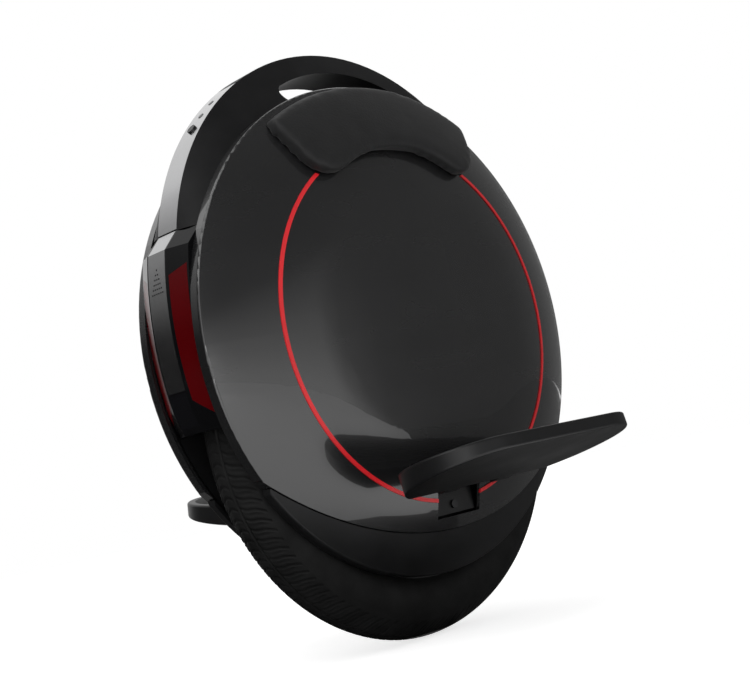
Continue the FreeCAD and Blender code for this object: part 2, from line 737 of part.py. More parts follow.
def port_spaces(name):
    """Room for the charging cap and the socket behind it."""
    gap = s.fit_gap
    outer = cap_outer_x()
    half, rise = s.cap_half_width + gap, s.cap_height / 2 + gap
    flap = box(name + "_cap_space", outer - s.overrun, outer + s.cap_thickness + gap, -half, half,
               height.port - rise, height.port + rise)
    socket = rod_x(name + "_port_space", s.port_radius + s.seat_gap, 0, height.port, outer,
                   outer + s.cap_thickness + gap + s.port_depth + s.seat_gap)
    return flap, socket


def make_charging():
    outer = cap_outer_x()
    face = outer + s.cap_thickness + s.fit_gap
    barrel = rod_x("port_barrel", s.port_radius, 0, height.port, face, face + s.port_depth)
    bore = rod_x("port_bore", s.port_bore_radius, 0, height.port, face - s.overrun,
                 face + s.port_depth - s.port_wall)
    node("charge_socket", cut("charge_socket_cut", barrel, bore))
    barrel_radius = s.cap_thickness / 2
    floor, axis_z = height.port - s.cap_height / 2, height.port + s.cap_height / 2 - barrel_radius
    node("charge_port_cap", pressed("charge_cap", [
        (outer + s.cap_thickness, floor),
        (outer + s.cap_thickness, axis_z),
        (outer + barrel_radius, axis_z + barrel_radius, barrel_radius),
        (outer, axis_z, barrel_radius),
        (outer, floor + s.cap_round),
        (outer + s.cap_round, floor, s.cap_round),
    ], -s.cap_half_width, s.cap_half_width))


def make_frame():
    """Main frame: two side plates, the crown with the carrying handle, and the bays."""
    far = s.plate_outer_y + s.overrun
    reach = rim_radius + s.overrun
    disc = rod_y("disc", disc_radius, 0, dome_centre_z, -s.plate_outer_y, s.plate_outer_y)
    slab = rod_y("crown_slab", crown_radius, 0, height.crown_centre, -s.crown_half_width, s.crown_half_width)
    flank = loft("flank", circle_wire("crown_edge", crown_radius, height.crown_centre, s.crown_half_width),
                 circle_wire("flank_edge", rim_radius, dome_centre_z, s.flank_y))
    crown = common("crown", fuse("crown_blank", slab, flank, mirrored("flank_mirror", flank, LEFT_TO_RIGHT)),
                   box("crown_space", -reach, reach, -far, far, height.crown_floor,
                       height.crown_centre + crown_radius + s.overrun))
    well = rod_y("wheel_well", well_radius, 0, wheel_z, -s.well_half_width, s.well_half_width)
    opening = pressed("grip_opening", [
        (s.grip_floor_half, height.grip_floor),
        (s.grip_end_half, height.grip_end, s.grip_end_radius),
        (s.grip_top_half, height.grip_shoulder, s.grip_shoulder_radius),
        (-s.grip_top_half, height.grip_shoulder, s.grip_top_radius),
        (-s.grip_end_half, height.grip_end, s.grip_shoulder_radius),
        (-s.grip_floor_half, height.grip_floor, s.grip_end_radius),
    ], -far, far)
    bay = box("control_bay", -s.bay_half_length, s.bay_half_length, -far, far, height.bay_floor,
              height.bay_ceiling)
    axle_way = rod_y("axle_way", s.axle_radius + s.seat_gap, 0, wheel_z, -far, far)
    strip_inner = crown_radius - s.strip_depth
    front_space = strip_sector("strip_space", s.strip_start_angle - s.strip_end_angle, s.strip_end_angle,
                               strip_inner, crown_radius + s.overrun, s.crown_half_width)
    rear_space = mirrored("strip_space_mirror", front_space, FRONT_TO_REAR)
    speaker_space = rod_x("speaker_space", s.speaker_radius + s.seat_gap, 0, height.speaker,
                          speaker_back(), disc_radius + s.overrun)
    button_space = radial("button_space", s.button_radius + s.button_flange + s.fit_gap, s.button_angle,
                          strip_inner - s.button_depth - s.button_travel - s.fit_gap, crown_radius)
    screw_ways = []
    head = s.well_half_width + s.shell_screw_head_height + s.seat_gap
    shank, seat = s.shell_screw_radius + s.seat_gap, s.shell_screw_head_radius + s.seat_gap
    for index, (x, z, _) in enumerate(shell_boss_places() + skirt_boss_places()):
        screw_ways.append(rod_y("screw_way_%d" % index, shank, x, z, -far, far))
        screw_ways.append(rod_y("screw_seat_%d" % index, seat, x, z, -head, head))
    frame = cut("frame", fuse("frame_blank", disc, crown), well, opening, bay, axle_way, front_space,
                rear_space, speaker_space, button_space, port_spaces("frame")[1], *screw_ways)
    node("main_frame", frame)
    node("speaker", rod_x("speaker_driver", s.speaker_radius, 0, height.speaker, speaker_back(),
                          speaker_back() + s.speaker_depth))
    make_strips()


def speaker_back():
    gap = height.speaker + s.speaker_radius - dome_centre_z
    return root(disc_radius * disc_radius - gap * gap) - s.speaker_depth


def make_strips():
    """Gloss strips let into the crown, with the power button and two indicator lights in the front one."""
    outer = crown_radius
    floor = outer - s.strip_depth
    strip = strip_sector("strip", s.strip_start_angle, s.strip_end_angle - s.seat_gap, floor, outer,
                         s.crown_half_width)
    hole = radial("button_hole", s.button_radius + s.seat_gap, s.button_angle, floor - s.overrun,
                  outer + s.overrun)
    lights, light_holes = [], []
    for index in range(int(s.light_count.value)):
        angle = s.light_angle + s.light_step * index
        lights.append(radial("light_%d" % index, s.light_radius, angle, floor, outer + s.fit_gap))
        light_holes.append(radial("light_hole_%d" % index, s.light_radius + s.seat_gap, angle,
                                  floor - s.overrun, outer + s.overrun))
    node("front_strip", cut("front_strip_cut", strip, hole, *light_holes))
    node("rear_strip", mirrored("rear_strip_mirror", strip, FRONT_TO_REAR))
    node("indicator_lights", group("indicator_light_group", *lights))
    back = floor - s.button_depth
    stem = radial("button_stem", s.button_radius, s.button_angle, back, outer + s.button_proud)
    collar = radial("button_collar", s.button_radius + s.button_flange, s.button_angle, back,
                    floor - s.fit_gap)
    node("power_button", fuse("power_button_fuse", stem, collar))


def screw_y(name, x, z, shank, head, y_head, head_height, length, inward):
    """A screw along Y: its head from y_head, its shank on past the head."""
    sign = -1 if inward else 1
    y_seat = y_head + sign * head_height
    y_tip = y_seat + sign * length
    spans = [(head, y_head, y_seat), (shank, y_seat, y_tip)]
    parts = []
    for index, (radius, y0, y1) in enumerate(spans):
        low, high = (y0, y1) if sign > 0 else (y1, y0)
        parts.append(rod_y("%s_%d" % (name, index), radius, x, z, low, high))
    return fuse(name, *parts)


def make_shell_screws():
    """Screws from inside the wheel well into the bosses of the shells and skirts."""
    screws = []
    for index, (x, z, length) in enumerate(shell_boss_places() + skirt_boss_places()):
        screws.append(screw_y("shell_screw_%d" % index, x, z, s.shell_screw_radius, s.shell_screw_head_radius,
                              s.well_half_width + s.seat_gap, s.shell_screw_head_height - s.seat_gap,
                              length, False))
    left = group("shell_screws_left", *screws)
    right = mirrored("shell_screws_right", left, LEFT_TO_RIGHT)
    node("shell_screws", group("shell_screw_group", left, right))


# Wheel with its hub motor
def polar_group(name, item, count):
    """Copies of an item spaced evenly about the wheel's axle."""
    doc.recompute()
    centre = V(0, 0, wheel_z.value)
    copies = []
    for index in range(count):
        copy = item.Shape.copy()
        copy.rotate(centre, V(0, 1, 0), 360 * index / count)
        copies.append(copy)
    feature = doc.addObject("Part::Feature", name)
    feature.Shape = Part.makeCompound(copies)
    return feature


def make_tyre():
    bead, lip = bead_radius + s.seat_gap, rim_lip_radius + s.fit_gap * 2
    side = s.bead_half_width - s.fit_gap
    lip_side = s.rim_half_width - s.cover_round - s.fit_gap * 3
    half, wall = s.tyre_half_width, s.tyre_wall
    middle = tube_ring_radius
    shoulder = half - s.tread_crown
    top = s.tyre_radius - wall
    sidewall_radius, bead_bend = tyre_shoulder_radius - bead, half - s.valve_radius * 3
    crown = s.tyre_radius - middle
    node("tyre", turned("tyre_body", [
        (bead, -side),
        (lip, -lip_side),
        (middle, -half, bead_bend),
        (tyre_shoulder_radius, -shoulder, sidewall_radius),
        (s.tyre_radius, 0, crown),
        (tyre_shoulder_radius, shoulder, crown),
        (middle, half, sidewall_radius),
        (lip, lip_side, bead_bend),
        (bead, side),
        (bead, side - wall),
        (middle, half - wall, -crown),
        (top, 0, -crown),
        (middle, wall - half, -crown),
        (bead, wall - side, -crown),
    ], wheel_z))
    tube = doc.addObject("Part::Torus", "tube_skin")
    hollow = doc.addObject("Part::Torus", "tube_hollow")
    for item, radius in ((tube, s.tube_radius), (hollow, s.tube_radius - s.tube_wall)):
        bind(item, Radius1=tube_ring_radius, Radius2=radius)
        put(item, 0, 0, wheel_z, V(1, 0, 0), 90)
    node("inner_tube", cut("inner_tube_cut", tube, hollow))


def make_rim():
    half, lip = s.rim_half_width, rim_lip_radius
    ledge, web = rim_ledge_radius, s.web_half_width
    bead_y, lip_y = s.bead_half_width, s.rim_half_width - s.cover_round
    outer, inner, drum = drum_outer_radius, drum_inner_radius, s.drum_half_width
    blank = turned("rim_blank", [
        (inner, -drum), (outer, -drum), (outer, -web), (ledge, -web), (ledge, -half), (lip, -half),
        (lip, -lip_y), (bead_radius, -bead_y), (bead_radius, bead_y), (lip, lip_y), (lip, half),
        (ledge, half), (ledge, web), (outer, web), (outer, drum), (inner, drum),
    ], wheel_z)
    drum_middle = (outer + inner) / 2
    hole = rod_y("drum_hole", s.cover_screw_radius + s.seat_gap, drum_middle, wheel_z,
                 drum - s.cover_screw_length - s.fit_gap, drum + s.overrun)
    holes = polar_group("drum_holes", hole, int(s.cover_screw_count.value))
    valve_angle = s.valve_angle
    node("motor_rim", cut("motor_rim_cut", blank, holes, mirrored("drum_holes_mirror", holes, LEFT_TO_RIGHT),
                          valve_rod("valve_way", s.valve_radius + s.seat_gap, valve_angle,
                                    ledge - s.overrun, bead_radius + s.overrun)))
    node("valve_stem", valve_rod("valve", s.valve_radius, valve_angle, ledge - s.valve_reach,
                                 bead_radius - s.seat_gap))
    far, near = inner - s.seat_gap, magnet_inner_radius
    step = as_size(360) / s.magnet_count * s.magnet_share / 2
    magnet = pressed("magnet", [
        (near * cosine(step), wheel_z - near * sine(step)),
        (far * cosine(step), wheel_z - far * sine(step)),
        (far * cosine(step), wheel_z + far * sine(step), far),
        (near * cosine(step), wheel_z + near * sine(step)),
    ], -s.magnet_half_length, s.magnet_half_length)
    node("rotor_magnets", polar_group("magnets", magnet, int(s.magnet_count.value)))


def valve_rod(name, radius, angle, start, end):
    """A cylinder that stands out from the axle at an angle, beside the wheel's middle."""
    item = doc.addObject("Part::Cylinder", name)
    bind(item, Radius=radius, Height=end - start)
    return put(item, start * cosine(angle), s.valve_y, wheel_z + start * sine(angle), V(0, 1, 0), 90 - angle)


def make_hub():
    boss_in, boss_out = s.bearing_radius + s.seat_gap / 2, s.cover_boss_radius
    plate, face = s.drum_half_width, s.drum_half_width + s.cover_thickness
    blank = turned("hub_cover_blank", [
        (boss_in, s.bearing_start), (boss_out, s.bearing_start), (boss_out, plate),
        (drum_outer_radius, plate), (drum_outer_radius, face), (boss_out + s.cover_thickness, face),
        (boss_out, s.cover_boss_end), (boss_in, s.cover_boss_end),
    ], wheel_z)
    middle = (drum_outer_radius + drum_inner_radius) / 2
    count = int(s.cover_screw_count.value)
    way = rod_y("cover_hole", s.cover_screw_radius + s.seat_gap, middle, wheel_z, plate - s.overrun,
                face + s.overrun)
    cover = cut("hub_cover", blank, polar_group("cover_holes", way, count))
    node("hub_cover_left", cover)
    node("hub_cover_right", mirrored("hub_cover_mirror", cover, LEFT_TO_RIGHT))
    screw = screw_y("cover_screw", middle, wheel_z, s.cover_screw_radius, s.cover_screw_head_radius,
                    face + s.cover_screw_head_height, s.cover_screw_head_height, s.cover_screw_length, True)
    left = polar_group("cover_screws_left", screw, count)
    right = mirrored("cover_screws_right", left, LEFT_TO_RIGHT)
    node("cover_screws", group("cover_screw_group", left, right))
    bearing = ring("bearing", s.axle_radius + s.run_gap, s.bearing_radius, s.bearing_start,
                   s.bearing_start + s.bearing_width, wheel_z)
    node("wheel_bearing_left", bearing)
    node("wheel_bearing_right", mirrored("bearing_mirror", bearing, LEFT_TO_RIGHT))


def make_axle():
    thin, thick = s.axle_radius, s.axle_step_radius
    end, step = s.axle_half_length, s.axle_step_half
    node("axle", turned("axle_body", [
        (as_size(0), -end), (thin, -end), (thin, -step), (thick, -step), (thick, step), (thin, step),
        (thin, end), (as_size(0), end),
    ], wheel_z))
    inner, web, core = thick + s.seat_gap, stator_web_radius, stator_radius
    half, rib = s.stator_half_length, s.stator_web_half
    node("stator_core", turned("stator_body", [
        (inner, -rib), (web, -rib), (web, -half), (core, -half), (core, half), (web, half), (web, rib),
        (inner, rib),
    ], wheel_z))
    r0, r1, bend = coil_inner_radius, coil_outer_radius, s.coil_round
    y0, y1 = half, half + s.coil_height
    coil = turned("coil", [
        (r0, y0), (r1, y0), (r1, y1 - bend), (r1 - bend, y1, bend), (r0 + bend, y1), (r0, y1 - bend, bend),
    ], wheel_z)
    node("stator_windings", group("winding_group", coil, mirrored("coil_mirror", coil, LEFT_TO_RIGHT)))
    hanger_face = s.plate_outer_y + s.hanger_thickness
    nut_y = hanger_face + s.washer_height
    washer = ring("washer", thin + s.seat_gap, s.washer_radius, hanger_face, nut_y, wheel_z)
    node("axle_washers", group("washer_group", washer, mirrored("washer_mirror", washer, LEFT_TO_RIGHT)))
    hexagon = doc.addObject("Part::Prism", "nut_hexagon")
    hexagon.Polygon = 6
    bind(hexagon, Circumradius=s.nut_across / root(as_size(3)), Height=s.nut_height)
    put(hexagon, 0, nut_y, wheel_z, V(1, 0, 0), -90)
    nut = cut("nut", hexagon, rod_y("nut_bore", thin + s.seat_gap, 0, wheel_z, nut_y - s.overrun,
                                    nut_y + s.nut_height + s.overrun))
    node("axle_nuts", group("nut_group", nut, mirrored("nut_mirror", nut, LEFT_TO_RIGHT)))


# Pedals with their hangers and hinges
def make_hanger():
    """Hanger on the axle's end: an arm, a beam behind the slot, and the hinge knuckles."""
    half, head, bend = s.hanger_half, hanger_head_z, s.hanger_round
    back, face = s.plate_outer_y, s.plate_outer_y + s.hanger_thickness
    arm = pressed("hanger_arm", [
        (-half, height.hanger_foot), (half, height.hanger_foot), (half, head - bend),
        (half - bend, head, bend), (bend - half, head), (-half, head - bend, bend),
    ], back, face)
    tab = box("hanger_tab", -half, half, back, s.tab_face_y, height.hanger_foot, height.beam_floor)
    end = s.hinge_half_length
    beam = box("hanger_beam", -end, end, back, s.beam_face_y, height.beam_floor, height.beam_ceiling)
    spans = [(-s.middle_knuckle_half, s.middle_knuckle_half), (s.pedal_knuckle_end + s.hinge_side_gap, end),
             (-end, -s.pedal_knuckle_end - s.hinge_side_gap)]
    knuckles = []
    for index, (x0, x1) in enumerate(spans):
        knuckles.append(rod_x("hanger_knuckle_%d" % index, s.knuckle_radius, s.hinge_y, height.hinge, x0, x1))
        knuckles.append(box("knuckle_web_%d" % index, x0, x1, s.beam_face_y, s.hinge_y,
                            height.hinge - s.knuckle_radius, height.hinge + s.knuckle_radius))
    pin_way = rod_x("hanger_pin_way", s.pin_radius + s.run_gap, s.hinge_y, height.hinge, -end - s.overrun,
                    end + s.overrun)
    axle_way = rod_y("hanger_axle_way", s.axle_radius + s.seat_gap, 0, wheel_z, back - s.overrun,
                     face + s.overrun)
    screw_way = rod_y("hanger_screw_way", s.hanger_screw_radius + s.seat_gap, 0, height.hanger_screw,
                      s.tab_face_y - s.hanger_screw_length - s.fit_gap, s.tab_face_y + s.overrun)
    hanger = cut("hanger", fuse("hanger_blank", arm, tab, beam, *knuckles), pin_way, axle_way, screw_way)
    node("pedal_hanger_left", hanger)
    node("pedal_hanger_right", mirrored("hanger_mirror", hanger, LEFT_TO_RIGHT))
    pin = rod_x("hinge_pin", s.pin_radius, s.hinge_y, height.hinge, -end, end)
    node("hinge_pin_left", pin)
    node("hinge_pin_right", mirrored("hinge_pin_mirror", pin, LEFT_TO_RIGHT))
    screw = screw_y("hanger_screw", as_size(0), height.hanger_screw, s.hanger_screw_radius,
                    s.hanger_screw_head_radius, s.tab_face_y + s.hanger_screw_head_height,
                    s.hanger_screw_head_height, s.hanger_screw_length, True)
    far_screw = mirrored("hanger_screw_mirror", screw, LEFT_TO_RIGHT)
    node("hanger_screws", group("hanger_screw_group", screw, far_screw))


def pedal_outline(inset):
    """Plan of the pedal in its own frame, with the hinge along x."""
    half, deep = s.pedal_half_length - inset, s.pedal_depth - inset
    corner = s.pedal_corner_length - inset
    wide = deep - corner
    start = inset * 2
    flare = wide - start
    return [
        (half - flare, start),
        (half, wide, flare),
        (half - corner, deep, corner),
        (corner - half, deep),
        (-half, wide, corner),
        (flare - half, start, flare),
    ]


def feature(body, kind, name, sketch, length, both=False, reverse=False):
    """Pad or pocket a sketch of a body."""
    item = body.newObject("PartDesign::" + kind, name)
    item.Profile = sketch
    bind(item, Length=length)
    if both:
        item.SideType = "Symmetric"
    item.Reversed = reverse
    return item


def rectangle(x0, x1, y0, y1):
    return [(x0, y0), (x1, y0), (x1, y1), (x0, y1)]


def round_hole(body, name, radius):
    """A circle about the hinge, in the plane across it."""
    sketch = body.newObject("Sketcher::SketchObject", name)
    plane = [item for item in body.Origin.OriginFeatures if item.Role == "YZ_Plane"][0]
    sketch.AttachmentSupport = [(plane, "")]
    sketch.MapMode = "FlatFace"
    sketch.addGeometry(Part.Circle(V(0, 0, 0), V(0, 0, 1), radius.value), False)
    sketch.addConstraint(Sketcher.Constraint("Coincident", 0, 3, -1, 1))
    rule = sketch.addConstraint(Sketcher.Constraint("Radius", 0, radius.value))
    sketch.setExpression("Constraints[%d]" % rule, radius.text)
    return sketch


def round_rim(body, plate):
    """Round the edges all along the pedal's rim, but not along its hinge."""
    doc.recompute()
    flare = s.pedal_depth - s.pedal_corner_length
    start = s.notch_depth.value
    names = []
    for index, edge in enumerate(plate.Shape.Edges, start=1):
        first = edge.valueAt(edge.FirstParameter)
        last = edge.valueAt(edge.LastParameter)
        if max(first.y, last.y) > start and first.distanceToPoint(last) > flare.value / 2:
            names.append("Edge%d" % index)
    rim = body.newObject("PartDesign::Fillet", "pedal_rim_round")
    rim.Base = (plate, names)
    bind(rim, Radius=s.pedal_round)


def make_pedal():
    """Pedal plate, thick at its hinge and thin at its rim, with a ribbed grip let into its top."""
    body = doc.addObject("PartDesign::Body", "pedal")
    top, deep = s.pedal_top, s.pedal_depth
    length = s.pedal_half_length * 2 + s.overrun
    plate = sketch_on(body, "pedal_plan", "XY_Plane", pedal_outline(as_size(0)), top)
    feature(body, "Pad", "pedal_plate_pad", plate, s.pedal_root_thickness, reverse=True)
    low = top - s.pedal_root_thickness
    under = sketch_on(body, "pedal_under", "YZ_Plane", [
        (-s.overrun, low - s.overrun), (deep + s.overrun, low - s.overrun),
        (deep + s.overrun, top - s.pedal_rim), (as_size(0), low), (-s.overrun, low),
    ])
    wedge = feature(body, "Pocket", "pedal_under_cut", under, length, both=True)
    round_rim(body, wedge)
    barrel = round_hole(body, "barrel_circle", top)
    feature(body, "Pad", "pedal_barrel", barrel, s.pedal_knuckle_end * 2, both=True)
    gap = s.hinge_side_gap
    back = -top - s.overrun
    notches = [(-s.middle_knuckle_half - gap, s.middle_knuckle_half + gap),
               (s.pedal_knuckle_end, s.pedal_half_length), (-s.pedal_half_length, -s.pedal_knuckle_end)]
    sketch = sketch_on(body, "pedal_notches", "XY_Plane", rectangle(*notches[0], back, s.notch_depth))
    for x0, x1 in notches[1:]:
        draw(sketch, rectangle(x0, x1, back, s.notch_depth))
    feature(body, "Pocket", "pedal_notch_cut", sketch, s.pedal_root_thickness * 3, both=True)
    pin_way = round_hole(body, "pin_circle", s.pin_radius + s.run_gap)
    feature(body, "Pocket", "pedal_pin_cut", pin_way, length, both=True)
    seat = sketch_on(body, "grip_plan", "XY_Plane", pedal_outline(s.grip_inset), top)
    feature(body, "Pocket", "grip_seat", seat, s.grip_depth)
    put(body, 0, s.hinge_y, height.hinge, V(1, 0, 0), s.pedal_tilt)
    node("pedal_left", body)
    node("pedal_right", mirrored("pedal_mirror", body, LEFT_TO_RIGHT))

    grip = doc.addObject("PartDesign::Body", "grip")
    sheet_plan = sketch_on(grip, "grip_sheet", "XY_Plane", pedal_outline(s.grip_inset + s.seat_gap), top)
    feature(grip, "Pad", "grip_sheet_pad", sheet_plan, s.grip_depth, reverse=True)
    rib_half = s.pedal_half_length * s.grip_rib_half_share
    middle = deep / 2 + s.grip_inset / 2
    count = int(s.grip_rib_count.value)
    ribs = None
    for index in range(count):
        v = middle + s.grip_rib_pitch * (index - (count - 1) / 2)
        path = rectangle(-rib_half, rib_half, v - s.grip_rib_width / 2, v + s.grip_rib_width / 2)
        if ribs is None:
            ribs = sketch_on(grip, "grip_ribs", "XY_Plane", path, top)
        else:
            draw(ribs, path)
    feature(grip, "Pad", "grip_rib_pad", ribs, s.grip_rib_height)
    put(grip, 0, s.hinge_y, height.hinge, V(1, 0, 0), s.pedal_tilt)
    node("pedal_grip_left", grip)
    node("pedal_grip_right", mirrored("grip_mirror", grip, LEFT_TO_RIGHT))


# Battery packs and control board
def make_electrics():
    half, low, high, bend = s.pack_half_length, height.pack_floor, height.pack_head, s.pack_round
    back = s.plate_outer_y
    pack = pressed("pack", [
        (half - bend, low), (half, low + bend, bend), (half, high - bend), (half - bend, high, bend),
        (bend - half, high), (-half, high - bend, bend), (-half, low + bend), (bend - half, low, bend),
    ], back, back + s.pack_depth)
    node("battery_pack_left", pack)
    node("battery_pack_right", mirrored("pack_mirror", pack, LEFT_TO_RIGHT))

    z0 = height.board
    z1 = z0 + s.board_thickness
    node("control_board", box("board", -s.board_half_length, s.board_half_length, -s.board_half_width,
                              s.board_half_width, z0, z1))
    posts, post_y = [], s.board_half_width - s.post_radius
    for index, (x, y) in enumerate([(1, 1), (1, -1), (-1, 1), (-1, -1)]):
        posts.append(rod_z("post_%d" % index, s.post_radius, s.post_x * x, post_y * y, height.bay_floor, z0))
    node("board_posts", group("post_group", *posts))
    block = box("sink_block", -s.sink_half_length, s.sink_half_length, -s.sink_half_width, s.sink_half_width,
                z1, z1 + s.sink_height)
    count = int(s.fin_count.value)
    pitch = s.sink_half_width * 2 / count
    gaps = []
    for index in range(count - 1):
        y = pitch * (index + 1) - s.sink_half_width
        room = (pitch - s.fin_width) / 2
        gaps.append(box("fin_gap_%d" % index, -s.sink_half_length - s.overrun, s.sink_half_length + s.overrun,
                        y - room, y + room, z1 + s.sink_height - s.fin_depth, z1 + s.sink_height + s.overrun))
    node("heat_sink", cut("heat_sink_cut", block, *gaps))
    parts, low = [], z0 - s.part_height + s.post_radius
    for index in range(int(s.part_count.value)):
        x = s.part_pitch * (index - (s.part_count - 1) / 2)
        parts.append(rod_z("capacitor_%d" % index, s.part_radius, x, 0, low, z0))
    node("board_capacitors", group("capacitor_group", *parts))


def write_parts():
    """Check every object, then write each piece to its own file."""
    doc.recompute()
    for item in doc.Objects:
        if {"Invalid", "Error"} & set(item.State):
            raise RuntimeError("%s is %s" % (item.Name, item.State))
    for name, item in nodes.items():
        if item.Shape.isNull() or not item.Shape.isValid() or not item.Shape.Solids:
            raise RuntimeError(name + " has no valid solid")
    os.makedirs("parts", exist_ok=True)
    for name, item in nodes.items():
        item.Shape.exportStep("parts/%s.step" % name)
        print("%-26s %2d solid(s) %12.1f mm3" % (name, len(item.Shape.Solids), item.Shape.Volume))


make_side_covers()
make_frame()
make_fairings()
make_charging()
make_shell_screws()
make_tyre()
make_rim()
make_hub()
make_axle()
make_hanger()
make_pedal()
make_electrics()
write_parts()
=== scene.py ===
"""Looks of an electric unicycle: materials, tread, padded leg pads, light and camera."""

import json
import math

import bmesh
import bpy
from mathutils import Matrix, Vector
from mathutils.bvhtree import BVHTree


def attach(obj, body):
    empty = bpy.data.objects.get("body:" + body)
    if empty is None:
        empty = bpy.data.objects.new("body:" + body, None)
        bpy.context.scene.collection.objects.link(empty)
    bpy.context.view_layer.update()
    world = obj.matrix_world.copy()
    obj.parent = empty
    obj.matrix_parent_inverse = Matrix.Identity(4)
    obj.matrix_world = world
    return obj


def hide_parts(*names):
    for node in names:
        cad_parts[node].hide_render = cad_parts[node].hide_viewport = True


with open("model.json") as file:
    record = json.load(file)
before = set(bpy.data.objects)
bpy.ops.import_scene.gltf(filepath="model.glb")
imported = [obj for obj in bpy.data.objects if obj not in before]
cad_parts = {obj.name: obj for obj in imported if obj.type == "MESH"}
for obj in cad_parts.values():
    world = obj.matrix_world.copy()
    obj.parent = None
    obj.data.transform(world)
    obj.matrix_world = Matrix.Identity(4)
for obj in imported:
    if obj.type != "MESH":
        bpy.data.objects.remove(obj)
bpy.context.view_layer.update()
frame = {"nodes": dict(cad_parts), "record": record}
nodes = frame["nodes"]
scene = bpy.context.scene


# Materials
class Paint:
    """Builds one material: a surface shader with its colour, roughness and relief from noise."""

    def __init__(self, name, base, rough, metallic=0.0, level=0.5):
        self.mat = bpy.data.materials.new(name)
        self.mat.use_nodes = True
        self.tree = self.mat.node_tree
        self.shader = next(n for n in self.tree.nodes if n.type == "BSDF_PRINCIPLED")
        self.base, self.rough = base, rough
        self.set("Base Color", (*base, 1.0))
        self.set("Roughness", rough)
        self.set("Metallic", metallic)
        self.set("Specular IOR Level", level)
        self.coords = self.tree.nodes.new("ShaderNodeTexCoord").outputs["Object"]
        self.relief = None

    def set(self, socket, value):
        self.shader.inputs[socket].default_value = value
        return self

    def noise(self, scale, detail=4.0, stretch=None):
        node = self.tree.nodes.new("ShaderNodeTexNoise")
        node.inputs["Scale"].default_value = scale
        node.inputs["Detail"].default_value = detail
        self.tree.links.new(self.place(stretch), node.inputs["Vector"])
        return node.outputs["Fac"]

    def place(self, stretch):
        if stretch is None:
            return self.coords
        node = self.tree.nodes.new("ShaderNodeMapping")
        node.inputs["Scale"].default_value = stretch
        self.tree.links.new(self.coords, node.inputs["Vector"])
        return node.outputs["Vector"]

    def spread(self, source, low, high, start=0.35, end=0.65):
        node = self.tree.nodes.new("ShaderNodeMapRange")
        for socket, value in (("From Min", start), ("From Max", end), ("To Min", low), ("To Max", high)):
            node.inputs[socket].default_value = value
        self.tree.links.new(source, node.inputs["Value"])
        return node.outputs["Result"]

    def mottle(self, scale, amount):
        """Colour that wanders a little either side of its base."""
        mix = self.tree.nodes.new("ShaderNodeMix")
        mix.data_type = "RGBA"
        mix.inputs["A"].default_value = (*[c * (1 - amount) for c in self.base], 1.0)
        mix.inputs["B"].default_value = (*[min(c * (1 + amount), 1.0) for c in self.base], 1.0)
        self.tree.links.new(self.spread(self.noise(scale), 0.0, 1.0), mix.inputs["Factor"])
        self.tree.links.new(mix.outputs["Result"], self.shader.inputs["Base Color"])
        return self

    def scuff(self, scale, amount, stretch=None):
        """Roughness that wanders, as handling and wiping leave it."""
        patchy = self.spread(self.noise(scale, 6.0, stretch), self.rough - amount, self.rough + amount)
        self.tree.links.new(patchy, self.shader.inputs["Roughness"])
        return self

    def grain(self, scale, depth, cells=False, stretch=None):
        """Fine relief of a given depth in metres: noise, or pebbles where cells is set."""
        if cells:
            node = self.tree.nodes.new("ShaderNodeTexVoronoi")
            node.feature = "SMOOTH_F1"
            node.inputs["Scale"].default_value = scale
            self.tree.links.new(self.place(stretch), node.inputs["Vector"])
            source = node.outputs["Distance"]
        else:
            source = self.noise(scale, 5.0, stretch)
        bump = self.tree.nodes.new("ShaderNodeBump")
        bump.inputs["Distance"].default_value = depth
        bump.inputs["Strength"].default_value = 1.0
        bump.invert = cells
        self.tree.links.new(source, bump.inputs["Height"])
        if self.relief is not None:
            self.tree.links.new(self.relief, bump.inputs["Normal"])
        self.relief = bump.outputs["Normal"]
        self.tree.links.new(self.relief, self.shader.inputs["Normal"])
        return self

    def coat(self, weight, rough):
        return self.set("Coat Weight", weight).set("Coat Roughness", rough)


def moulded(name, base, rough, depth=0.00003):
    """Satin moulded plastic with a fine spark-eroded grain."""
    return Paint(name, base, rough).mottle(35, 0.18).scuff(18, 0.05).grain(1500, depth)


def polished(name, base, rough):
    """Polished plastic: nearly smooth, with faint wiping marks."""
    return Paint(name, base, rough).mottle(12, 0.12).scuff(9, 0.02, (1, 1, 4)).grain(260, 0.000001)


def rubber(name, base, rough=0.78):
    return Paint(name, base, rough, level=0.35).mottle(60, 0.25).scuff(40, 0.08).grain(900, 0.00006)


def metal(name, base, rough, stretch=None):
    paint = Paint(name, base, rough, metallic=1.0)
    return paint.mottle(80, 0.06).scuff(160, 0.05, stretch).grain(700, 0.00001, stretch=stretch)


def satin(name, base, rough):
    """Even satin plating on plastic."""
    return Paint(name, base, rough, metallic=1.0).mottle(20, 0.03).scuff(25, 0.02).grain(1800, 0.000004)


